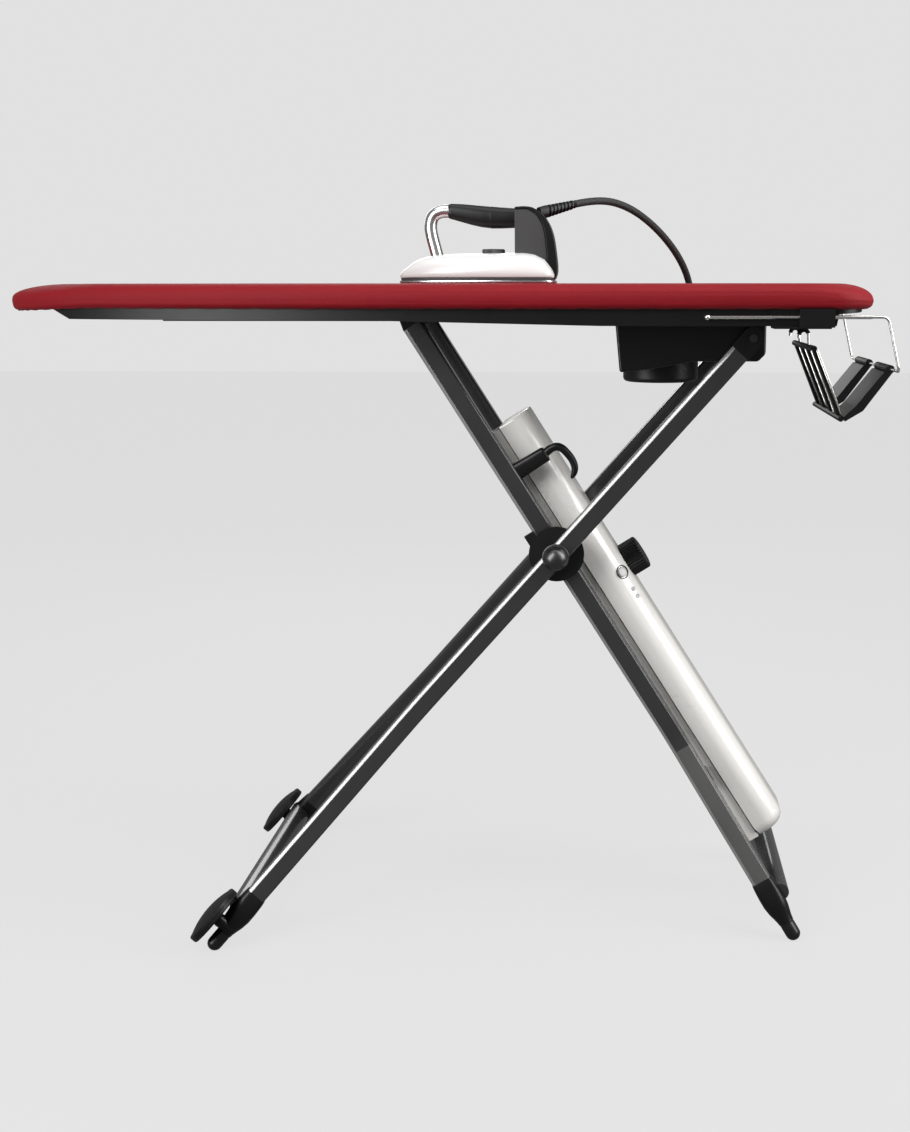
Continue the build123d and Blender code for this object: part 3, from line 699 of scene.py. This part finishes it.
def make_hem():
    """The cover's drawstring binding, a soft roll just under its lower edge."""
    points = []
    for x, y in outline(0.0085):
        sag = nose_sag * smooth((cover_low.x + nose_length - x) / nose_length)
        points.append(Vector((x, y, cover_low.z + 0.0010 - sag)))
    count = len(points)
    rings = []
    for i, here in enumerate(points):
        ahead = (points[(i + 1) % count] - points[i - 1]).normalized()
        side = ahead.cross(Vector((0, 0, 1)))
        thick = 0.0021 + 0.0005 * sin(i * pucker_turn)
        rings.append([here + side * thick * cos(a) + Vector((0, 0, 1)) * thick * sin(a)
                      for a in [2 * pi * k / 8 for k in range(8)]])
    rings.append(rings[0])
    piece("cover_binding", *loft_data(rings, closed_ends=False), "board", RED_EDGE, sharp=180,
          slot="cover")


# ------------------------------------------------------------------ legs
tube_wide, tube_thick = 0.0275, 0.022
bend_radius = 0.260
leg_plans = {
    "outer": dict(leg=outer, body="outer_legs", start=-outer_arm + 0.026, bend=0.300, end=0.635,
                  half=0.108, splay=13.2),
    "inner": dict(leg=inner, body="inner_legs", start=-inner_arm + 0.021, bend=0.310, end=0.554,
                  half=0.075, splay=12.0),
}


def leg_path(plan):
    """Centre line of the +Y tube as (s, y, direction) with a large-radius bend."""
    lean = radians(plan["splay"])
    reach = bend_radius * tan(lean / 2)
    line = [(plan["start"], plan["half"], 0.0)]
    for k in range(9):
        angle = lean * k / 8
        line.append((plan["bend"] - reach + bend_radius * sin(angle),
                     plan["half"] + bend_radius * (1 - cos(angle)), angle))
    line.append((plan["end"], plan["half"] + (plan["end"] - plan["bend"]) * tan(lean), lean))
    return line


facet = [(0.0070, -0.01375), (0.0084, -0.0132), (0.0092, -0.0122), (0.0106, -0.0092), (0.0110, -0.0082)]
facet_faces = (1, 2)         # the strips between the facet's second, third and fourth points, which carry the painted highlight


def tube_section():
    """Half thickness and n of a leg tube: rounded corners, with a long facet outside at -n."""
    corner, half_a, half_b = 0.0036, tube_thick / 2, tube_wide / 2
    arc = [(corner * cos(pi / 2 * k / 4), corner * sin(pi / 2 * k / 4)) for k in range(5)]
    top_right = [(half_a - corner + a, half_b - corner + b) for a, b in arc]
    top_left = [(-half_a + corner - a, half_b - corner + b) for a, b in reversed(arc)]
    low_left = [(-half_a + corner - a, -half_b + corner - b) for a, b in arc]
    return facet + top_right + top_left + low_left


def make_tube(which, side):
    """A bent leg tube with a painted highlight on its facet strips; the inner legs' lower stretch is painted
    lighter than the rest, as painted light.
    """
    plan = leg_plans[which]
    section, path = tube_section(), leg_path(plan)
    rings = [[plan["leg"].at(s - a * sin(lean), side * (y + a * cos(lean)), b) for a, b in section]
             for s, y, lean in path]
    verts, faces = loft_data(rings)
    count = len(section)
    last = (len(path) - 2) * count
    looks = [1 if last <= i < last + count else 0 for i in range(len(faces))]
    for i in range(last + count):
        if i % count in facet_faces:
            looks[i] = 2
    name = which + ("_tube_far" if side > 0 else "_tube_near")
    # the inner legs' lower stretch takes the lighter copy: painted light
    lower = PAINTED_LIGHT_ANODISED if which == "inner" else ANODISED
    piece(name + "_extrusion", verts, faces, plan["body"], ANODISED, lower, PAINTED_HIGHLIGHT, stands_for=[name],
          slot="anodised", sharp=16, which=looks)


def foot_place(plan, side):
    """Origin and axes of a tube's lower end."""
    lean = radians(plan["splay"])
    out = plan["half"] + (plan["end"] - plan["bend"]) * tan(lean)
    leg = plan["leg"]
    along = (leg.down * cos(lean) + across * side * sin(lean)).normalized()
    sideways = (across * side * cos(lean) - leg.down * sin(lean)).normalized()
    return leg.at(plan["end"], side * out, 0), along, sideways, leg.out


def make_foot(which, side):
    """A tube's end cap and rubber foot; the outer caps also carry a wheel's stub axle."""
    plan = leg_plans[which]
    origin, along, sideways, out = foot_place(plan, side)
    stations = [(-0.004, 12.2, 14.9, 4), (0.0, 13.0, 15.6, 4), (0.006, 13.6, 16.2, 3.6),
                (0.018, 14.8, 17.0, 3.0), (0.032, 15.6, 17.2, 2.5), (0.044, 14.6, 15.6, 2.2),
                (0.053, 12.8, 13.2, 2), (0.059, 11.6, 11.7, 2), (0.063, 11.2, 11.2, 2)]
    rings = []
    for x, a, b, power in stations:
        rings.append([origin + along * x + sideways * p * mm + out * q * mm
                      for p, q in superellipse(a, b, power)])
    parts = [loft_data(rings)]
    if which == "outer":
        centre = Vector(joints["far_wheel_spin" if side > 0 else "near_wheel_spin"]["pos_m"])
        root = centre + out * 0.027
        boss = [(-0.0060, 0.008), (0.016, 0.0095), (0.020, 0.0085), (0.0215, 0.0082)]
        axle = [(0.0, 0.0040), (0.0330, 0.0040)]
        parts += [lathe_data(boss, root, -out, along, 32), lathe_data(axle, root, -out, along, 24)]
    tag = which + ("_far" if side > 0 else "_near")
    piece(tag + "_end_cap", *joined(parts), plan["body"], BLACK, slot="black_plastic",
          stands_for=[which + "_end_caps"], sharp=50)
    ball_z = 0.0098
    reach = (origin.z - ball_z) / -along.z
    radius = 0.0105
    profile = [(0.0600, radius * 0.9), (0.0615, radius * 1.04), (0.0640, radius * 1.06),
               (0.0650, radius * 0.98), (0.0664, radius), (reach - 0.002, radius)]
    profile += [(reach + radius * sin(a), radius * cos(a)) for a in [pi / 2 * k / 9 for k in range(1, 9)]]
    profile.append((reach + radius, 0.0002))
    verts, faces = lathe_data(profile, origin, along, sideways, 40)
    verts = [Vector((v.x, v.y, max(v.z, 0.0))) for v in verts]
    piece(tag + "_foot", verts, faces, plan["body"], RUBBER, slot="rubber",
          stands_for=[which + "_feet"], sharp=60)


def make_wheel(side):
    """A transport wheel with a parting line round its tread, a dished inner face and a domed outer one."""
    name = "far" if side > 0 else "near"
    centre = Vector(joints[name + "_wheel_spin"]["pos_m"])
    half, rim, dome_radius, dome_high = 0.0055, 0.043, 0.038, 0.0066
    profile = [(-half + 0.0005, 0.0041), (-half, 0.0075), (-half, 0.013), (-half + 0.003, 0.0145),
               (-half + 0.003, 0.033), (-half, 0.0345), (-half, rim - 0.0016),
               (-half + 0.0012, rim - 0.0003), (-half + 0.003, rim), (-0.0004, rim),
               (0.0, rim - 0.0006), (0.0004, rim), (half - 0.003, rim), (half - 0.0010, rim - 0.0003),
               (half, rim - 0.0018), (half + 0.0003, rim - 0.0042), (half - 0.0003, rim - 0.0050)]
    profile += [(half + 0.0004 + dome_high * (1 - (r / dome_radius) ** 2.2), r)
                for r in [dome_radius - 0.0036 * k for k in range(10)]]
    profile.append((half + 0.0070, 0.0012))
    lathe(name + "_wheel_disc", profile, centre, -outer.out, outer.down, name + "_wheel", SOFT_BLACK,
          segments=72, stands_for=["wheel_" + name], slot="black_plastic", sharp=38)


def make_pivot():
    """Round caps over the scissor pivot's pins, each on a thin collar."""
    radius, start, middle = 0.0177, 0.1194, 0.125 - 0.1194
    dip = 0.16                   # radians of the ball below its widest circle
    collar = [(0.0, 0.0180), (0.0003, 0.0185), (0.0017, 0.0186), (0.0022, 0.0181), (0.0023, 0.0172)]
    angles = [-dip + (pi / 2 + dip) * k / 18 for k in range(18)]
    dome = [(middle + radius * sin(a), radius * cos(a)) for a in angles] + [(middle + radius, 0.0002)]
    for side, tag in ((1, "far"), (-1, "near")):
        lathe("pivot_ball_" + tag, collar + dome, Vector((pivot.x, side * start, pivot.z)), across * side,
              Vector((1, 0, 0)), "outer_legs", GLOSS_BLACK, stands_for=["ball_caps"],
              slot="gloss_black", sharp=50)


# ------------------------------------------------------------------ fan housing
def in_profile(points, steps):
    """A smooth (x, z) curve through (x, z) points."""
    return [(v.x, v.z) for v in smooth_line([Vector((x, 0, z)) for x, z in points], steps)]


def make_housing():
    """The blower's box under the tray, its belly rising to the right over the round bowl."""
    low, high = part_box("fan_housing")
    x0, x1, z1 = low.x, high.x, high.z
    belly = in_profile([(x0 + 0.009, 0.7970), (0.276, 0.7995), (0.302, 0.8030), (0.328, 0.8080),
                        (0.352, 0.8120)], 4)
    side_view = [(x0, z1)] + belly + [(x1 - 0.010, 0.812), (x1, 0.822), (x1, z1)]
    housing = piece("blower_housing", *prism_data(side_view, low.y, high.y), "board", BLACK,
                    stands_for=["fan_housing"], slot="black_plastic", sharp=25)
    bevel(housing, 0.0035, 4, 30)
    vent_pitch, vent_wide = 0.011, 0.0045
    vents = []
    for k in range(7):
        x = x1 - 0.085 + k * vent_pitch
        vents.append(box_data((x, -0.060, 0.8108), (x + vent_wide, 0.060, 0.8124)))
    piece("housing_vents", *joined(vents), "board", SOFT_BLACK, slot="black_plastic")


# ------------------------------------------------------------------ generator
def upper_section(half, low, high, radius, steps=10):
    """The rounded-top section as (y, n) pairs."""
    points = [(half, low)]
    for quarter, sy in ((0, 1), (1, -1)):
        for k in range(steps + 1):
            angle = quarter * pi / 2 + pi / 2 * k / steps
            points.append((sy * (half - radius) + radius * cos(angle), high - radius + radius * sin(angle)))
    points.append((-half, low))
    for k in range(1, 6):
        points.append((-half + 2 * half * k / 6, low))
    return points


def make_generator():
    """The white casing: an eased upper edge, a long even body and a rounded lower end."""
    low_n, high_n, half = 0.0216, 0.068, 0.050
    start, end, end_radius = -0.190, 0.525, 0.020

    def ring(s, shrink):
        section = upper_section(half - shrink, low_n + min(shrink, 0.002), high_n - shrink,
                                max(0.004, 0.030 - shrink * 0.6))
        return [inner.at(s, y, n) for y, n in section]

    rings = [ring(start + step, shrink)
             for step, shrink in ((0.0, 0.0042), (0.0004, 0.0016), (0.0016, 0.0004), (0.004, 0.0))]
    for k in range(1, 12):
        rings.append(ring(start + (end - 0.024 - start) * k / 12, 0.0))
    for k in range(9):
        angle = pi / 2 * k / 8
        rings.append(ring(end - end_radius + end_radius * sin(angle), 0.018 * (1 - cos(angle))))
    loft("generator_casing", rings, "inner_legs", WHITE, stands_for=["generator_upper_shell"],
         slot="white_plastic", sharp=40)
    seam_half, seam_low, seam_high = 0.0494, 0.0203, 0.0219
    corners = ((seam_half, seam_low), (seam_half, seam_high), (-seam_half, seam_high),
               (-seam_half, seam_low))
    seam = [[inner.at(s, y, n) for y, n in corners] for s in (start + 0.0015, end - 0.012)]
    loft("casing_seam", seam, "inner_legs", BLACK, slot="black_plastic")


def on_shoulder(s):
    """A point and outward direction on the near rounded shoulder of the casing."""
    lean = radians(45)
    out = (-across * sin(lean) + inner.out * cos(lean)).normalized()
    return inner.at(s, -0.020, 0.038) + out * 0.030, out


def make_controls():
    """The power button in its ring, and a rim round each of the two lamps."""
    centre, out = on_shoulder(0.079)
    face = [(-0.0040, 0.0076), (0.0004, 0.0076), (0.0010, 0.0072), (0.0012, 0.0066), (0.0006, 0.0057),
            (0.0004, 0.0040), (0.0004, 0.0002)]
    lathe("button_face", face, centre, out, inner.down, "power_button", PALE_GREY,
          stands_for=["power_button"], slot="grey_plastic", segments=48)
    rim = [(-0.0010, 0.0090), (0.0006, 0.0090), (0.0008, 0.0094), (0.0006, 0.0101), (-0.0010, 0.0103)]
    lathe("button_ring", rim, centre, out, inner.down, "inner_legs", SLATE, slot="grey_plastic",
          segments=48, hollow=True)
    lamp_rim = [(-0.0004, 0.0032), (0.0004, 0.0034), (0.0007, 0.0028), (0.0004, 0.0025), (-0.0004, 0.0025)]
    rims = [lathe_data(lamp_rim, on_shoulder(s)[0], out, inner.down, 24, hollow=True)
            for s in (0.108, 0.120)]
    piece("lamp_rings", *joined(rims), "inner_legs", GREY, slot="grey_plastic")


def make_filler_cap():
    """A fluted knob over a low white collar."""
    cap_s, r = 0.0745, 0.0253
    profile = [(0.0, r - 0.0012, True), (0.0010, r, True), (0.0245, r, True), (0.0264, r - 0.0008, True),
               (0.0274, r - 0.0030), (0.0280, r - 0.0060), (0.0280, r - 0.0080),
               (0.0272, r - 0.0092), (0.0270, 0.0002)]
    lathe("filler_cap_top", profile, inner.at(cap_s, 0, 0.0684), inner.out, inner.down, "filler_cap",
          SOFT_BLACK, segments=288, flutes=34, depth=0.0016, stands_for=["filler_cap"],
          slot="black_plastic", sharp=30)
    collar = [(-0.0020, 0.0275), (0.0000, 0.0275), (0.0004, 0.0268), (0.0003, 0.0245), (-0.0020, 0.0245)]
    lathe("filler_collar", collar, inner.at(cap_s, 0, 0.068), inner.out, inner.down, "inner_legs",
          WHITE, slot="white_plastic", hollow=True)


def make_cord_hook():
    """The hook for the cord: a squared post, and a bow that tapers to a blunt tip."""
    y = -0.075
    rings = []
    for n, a, b in ((0.0132, 12.4, 8.2), (0.016, 12.2, 8.0), (0.040, 11.4, 7.8), (0.058, 10.8, 7.4),
                    (0.0605, 10.2, 6.9), (0.0615, 9.0, 6.0)):
        rings.append([inner.at(-0.125 + p * mm, y + q * mm, n) for p, q in superellipse(a, b, 3.0, 32)])
    loft("hook_post_bar", rings, "inner_legs", BLACK, stands_for=["hook_post"], slot="black_plastic",
         sharp=45)
    spots = [(-0.1255, 0.0580), (-0.1272, 0.0690), (-0.1255, 0.0780), (-0.1190, 0.0835),
             (-0.1090, 0.0860), (-0.0980, 0.0868), (-0.0880, 0.0845), (-0.0810, 0.0790),
             (-0.0770, 0.0720)]
    line = smooth_line([inner.at(s, y, n) for s, n in spots], 6)
    tip = 0.0004
    radii = []
    for k in range(len(line)):
        t = k / (len(line) - 1)
        taper = sqrt(max(0.0, 1 - max(0.0, (t - 0.72) / 0.285) ** 2))
        radii.append(((0.0056 - 0.0010 * t) * taper + tip, (0.0058 - 0.0016 * t) * taper + tip))
    piece("hook_bow", *swept_data(line, radii, 20, across), "inner_legs", BLACK,
          stands_for=["cord_hook"], slot="black_plastic", sharp=60)


# ------------------------------------------------------------------ iron
iron_low, iron_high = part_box("iron_soleplate")


def iron_outline(inset, count=28):
    """The sole's outline, drawn in by inset: a pointed nose and a square heel."""
    half = 0.056 - inset
    nose, heel = iron_low.x + inset, iron_high.x - inset
    upper = [bezier(k / (count - 1), (nose, 0), (nose + 0.004, half * 0.55), (nose + 0.070, half),
                    (nose + 0.150, half)) for k in range(count)]
    upper += [(nose + 0.165, half - 0.0005), (nose + 0.180, half - 0.002), (nose + 0.195, half - 0.004),
              (heel - 0.010, half - 0.007), (heel - 0.003, half - 0.012), (heel, half - 0.020),
              (heel, half * 0.35), (heel, 0.0)]
    return upper + [(x, -y) for x, y in reversed(upper[1:-1])]


def iron_band(name, levels, mat, **options):
    """A skin through the sole's outline at several (height, inset) levels."""
    rings = [[Vector((x, y, iron_low.z + z)) for x, y in iron_outline(inset)] for z, inset in levels]
    loft(name, rings, "iron", mat, sharp=50, **options)


def shell_half_width(x):
    """Half the casing's width at x, from the sole's outline."""
    side = [p for p in iron_outline(0.0012) if p[1] >= 0]
    for (xa, ya), (xb, yb) in zip(side, side[1:]):
        if xa <= x <= xb and xb > xa:
            return ya + (yb - ya) * (x - xa) / (xb - xa)
    return side[-3][1]


def make_iron_shell(bottom):
    """The glossy casing: lengthwise stations of a full, flat-topped arch."""
    ridge = [(-0.0605, 0.9265), (-0.057, 0.9315), (-0.051, 0.9365), (-0.036, 0.9478), (-0.018, 0.9535),
             (0.012, 0.9563), (0.072, 0.9578), (0.118, 0.9583), (0.131, 0.9565), (0.146, 0.9490),
             (0.1555, 0.9370), (0.1605, 0.9262)]
    nose, heel = iron_low.x + 0.0013, iron_high.x - 0.0013
    squareness, lip, hem = 2.7, 0.0015, 0.0012
    rings = []
    for station in range(45):
        x = nose + (heel - nose) * (1 - cos(pi * station / 44)) / 2
        half = max(hem, shell_half_width(x))
        rise = between(ridge, x) - bottom - lip
        ring = []
        for k in range(29):
            angle = pi * k / 28
            ring.append(Vector((x, half * signed_power(cos(angle), 2 / squareness),
                                bottom + lip + rise * abs(sin(angle)) ** (2 / squareness))))
        ring += [Vector((x, -half + hem, bottom)), Vector((x, half - hem, bottom))]
        rings.append(ring)
    loft("iron_casing", rings, "iron", IRON_WHITE, stands_for=["iron_shell"], slot="white_plastic",
         sharp=60)


def make_handle():
    """A plated bow rising from the shell, and the grip with its fine ring grooves."""
    stem = [(-0.0055, 0.9500), (-0.0090, 0.9640), (-0.0135, 0.9820), (-0.0150, 0.9960),
            (-0.0110, 1.0085), (0.0000, 1.0145), (0.0160, 1.0150)]
    line = [Vector((x, 0, z)) for x, z in in_profile(stem, 7)]
    piece("handle_bow", *swept_data(line, [0.0088] * len(line), 32), "iron", CHROME,
          stands_for=["iron_handle_tube"], slot="chrome", sharp=60)
    grip_start, grip_long, narrow = 0.0105, 0.0935, 0.93
    middle = [(0.0, 1.0150), (0.02, 1.0149), (0.08, 1.0143), (0.2, 1.0125), (0.35, 1.0100),
              (0.5, 1.0078), (0.65, 1.0064), (0.82, 1.0058), (1.0, 1.0056)]
    radius = [(0.0, 8.9), (0.02, 10.2), (0.08, 11.2), (0.2, 12.6), (0.35, 14.0), (0.5, 14.9),
              (0.65, 15.0), (0.82, 14.3), (1.0, 13.4)]
    rings = []
    for k in range(61):
        f = k / 60
        z, tall = between(middle, f), between(radius, f)
        groove = 0.97 if 0.05 < f < 0.62 and k % 2 else 1.0
        rings.append([Vector((grip_start + grip_long * f, p * narrow * groove * mm, z + q * groove * mm))
                      for p, q in superellipse(tall, tall, 2.3, 36)])
    loft("grip", rings, "iron", SOFT_BLACK, stands_for=["iron_grip"], slot="black_plastic", sharp=50)


def make_rear():
    """The handle's rear web: a slate side face inside a black arched band."""
    inner_arc = in_profile([(0.104, 1.0165), (0.118, 1.0170), (0.125, 1.0155), (0.136, 1.0075),
                            (0.145, 0.9880), (0.149, 0.9550)], 5)
    web = prism_data([(0.104, 0.950)] + inner_arc + [(0.149, 0.9400)], -0.0188, 0.0188)
    plate = piece("rear_plate", *web, "iron", SLATE, stands_for=["iron_rear_plate"],
                  slot="grey_plastic", sharp=25)
    bevel(plate, 0.0012, 3, 40)
    outer_arc = in_profile([(0.104, 1.0200), (0.119, 1.0208), (0.132, 1.0178), (0.147, 1.0055),
                            (0.157, 0.9840), (0.162, 0.9530), (0.1632, 0.9330), (0.1600, 0.9215)], 5)
    gap = 0.0002
    back = [(0.1525, 0.9330), (0.1492, 0.9420)] + [(x + gap, z + gap) for x, z in inner_arc[::-1]]
    shell = piece("rear_shell", *prism_data(outer_arc + back, -0.0202, 0.0202), "iron", BLACK,
                  stands_for=["iron_rear_shell"], slot="black_plastic", sharp=25)
    bevel(shell, 0.0016, 3, 40)


def make_dial():
    """The low fluted steam dial on the shell."""
    profile = [(0.0, 0.0160, True), (0.0045, 0.0160, True), (0.0056, 0.0150, True), (0.0060, 0.0120),
               (0.0058, 0.0002)]
    lathe("steam_dial_top", profile, Vector((0.0730, 0, 0.9575)), Vector((0, 0, 1)),
          Vector((1, 0, 0)), "steam_dial", SLATE, segments=160, flutes=40, depth=0.0005,
          stands_for=["steam_dial"], slot="grey_plastic", sharp=30)


def make_strain_relief():
    """A tapering ribbed sleeve where the hose leaves the iron."""
    start, finish = Vector((0.1395, 0, 1.0125)), Vector((0.1862, 0.0281, 1.0260))
    direction = finish - start
    length = direction.length
    ribs = 7
    profile = [(-0.004, 0.0088), (0.004, 0.0092), (0.009, 0.0090)]
    for k in range(ribs):
        at = 0.011 + k * (length - 0.014) / ribs
        wide = 0.0088 - 0.0026 * k / ribs
        profile += [(at, wide - 0.0016), (at + 0.0012, wide - 0.0018), (at + 0.0016, wide),
                    (at + 0.0042, wide - 0.0003), (at + 0.0046, wide - 0.0018)]
    profile += [(length - 0.0004, 0.0058), (length, 0.0052)]
    lathe("strain_relief_ribs", profile, start, direction, Vector((0, 0, 1)), "iron", SOFT_BLACK,
          stands_for=["hose_strain_relief"], slot="black_plastic", segments=40, sharp=30)


def make_iron():
    iron_band("soleplate", ((0.0, 0.0016), (0.0008, 0.0003), (0.0022, 0.0), (0.0038, 0.0004)), ALLOY,
              stands_for=["iron_soleplate"], slot="aluminium")
    iron_band("iron_skirt_band", ((0.0039, 0.0030), (0.0042, 0.0022), (0.0076, 0.0020), (0.0080, 0.0028)),
              SLATE, stands_for=["iron_skirt"], slot="grey_plastic")
    make_iron_shell(iron_low.z + 0.0080)
    make_handle()
    make_rear()
    make_dial()
    make_strain_relief()


# ------------------------------------------------------------------ iron rest details
def make_rest_details():
    """Plated wires between the rack's strips, and the two wire hooks with their black sleeves."""
    top, low = Vector((0.5105, 0, 0.830)), Vector((0.548, 0, 0.738))
    drop = (low - top).normalized()
    wires = []
    for y in (-0.100, -0.033, 0.033, 0.100):
        for shift in (-0.010, 0.010):
            start = top + across * (y + shift) + drop * 0.002 + drop.cross(across) * 0.0035
            wires.append(swept_data([start, start + drop * 0.048, start + drop * 0.094], [0.0011] * 3, 12))
    piece("rack_wires", *joined(wires), "iron_rest", WIRE, slot="chrome")
    hook = ((0.0, 0.0), (-0.0004, 0.0090), (-0.0012, 0.0160), (-0.0052, 0.0195), (-0.0105, 0.0185),
            (-0.0133, 0.0140), (-0.0140, 0.0085))
    legs, sleeves = [], []
    for y in (-0.050, 0.050):
        foot = Vector((top.x, y, top.z + 0.0036))
        line = smooth_line([foot + Vector((x, 0, z)) for x, z in hook], 5)
        legs.append(swept_data(line, [0.0018] * len(line), 14))
        crown = line[9:27]
        sleeves.append(swept_data(crown, [0.0030] * len(crown), 18))
    piece("hook_wires", *joined(legs), "iron_rest", WIRE, stands_for=["rest_hooks"], slot="chrome", sharp=60)
    piece("hook_sleeves", *joined(sleeves), "iron_rest", SILICONE, slot="silicone", sharp=60)


look_from_photo()
make_hose()
make_studio()
make_cover()
make_felt()
make_hem()
for which in ("outer", "inner"):
    for side in (1, -1):
        make_tube(which, side)
        make_foot(which, side)
for side in (1, -1):
    make_wheel(side)
make_pivot()
make_housing()
make_generator()
make_controls()
make_filler_cap()
make_cord_hook()
make_iron()
make_rest_details()
